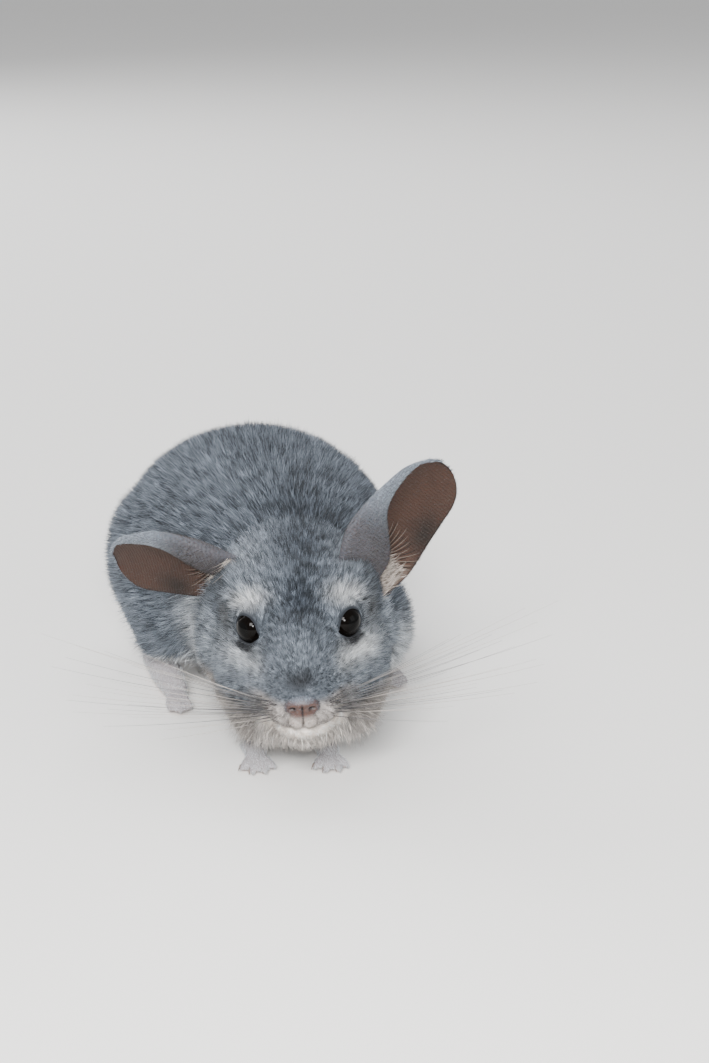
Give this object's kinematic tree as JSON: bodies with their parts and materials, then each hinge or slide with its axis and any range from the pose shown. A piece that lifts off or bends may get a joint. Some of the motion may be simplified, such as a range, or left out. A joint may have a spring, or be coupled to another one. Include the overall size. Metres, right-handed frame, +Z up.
{
  "type": "chinchilla",
  "caption": "Life-size still model of a grey chinchilla crouching on all fours, head turned a little aside, with big cupped ears, long whiskers and a bushy tail laid behind.",
  "frame": {"origin": "on the floor, near the middle of the flat of the belly", "axes": "+Z up, -Y the way the body faces, +X the animal's left"},
  "size_m": [0.1775, 0.3123, 0.1006],
  "materials": {
    "grey_fur": "dense soft blue-grey fur with pale ticking",
    "pale_fur": "short pale fur",
    "bare_ear": "thin matt skin, almost bare",
    "bare_nose": "moist skin",
    "black_eye": "wet gloss",
    "foot_fur": "very short pale fur",
    "tail_hair": "coarse long hair"
  },
  "bodies": {
    "root": {"head": "grey_fur", "neck": "grey_fur", "torso": "grey_fur", "haunch_L": "grey_fur", "haunch_R": "grey_fur", "tail_root": "grey_fur", "tail_brush": "tail_hair", "whisker_pad_L": "pale_fur", "whisker_pad_R": "pale_fur", "nose": "bare_nose", "eye_L": "black_eye", "eye_R": "black_eye", "ear_L": "bare_ear", "ear_R": "bare_ear", "foreleg_L": "foot_fur", "foreleg_R": "foot_fur", "forepaw_L": "foot_fur", "forepaw_R": "foot_fur", "hindfoot_L": "foot_fur", "hindfoot_R": "foot_fur"}
  },
  "joints": []
}
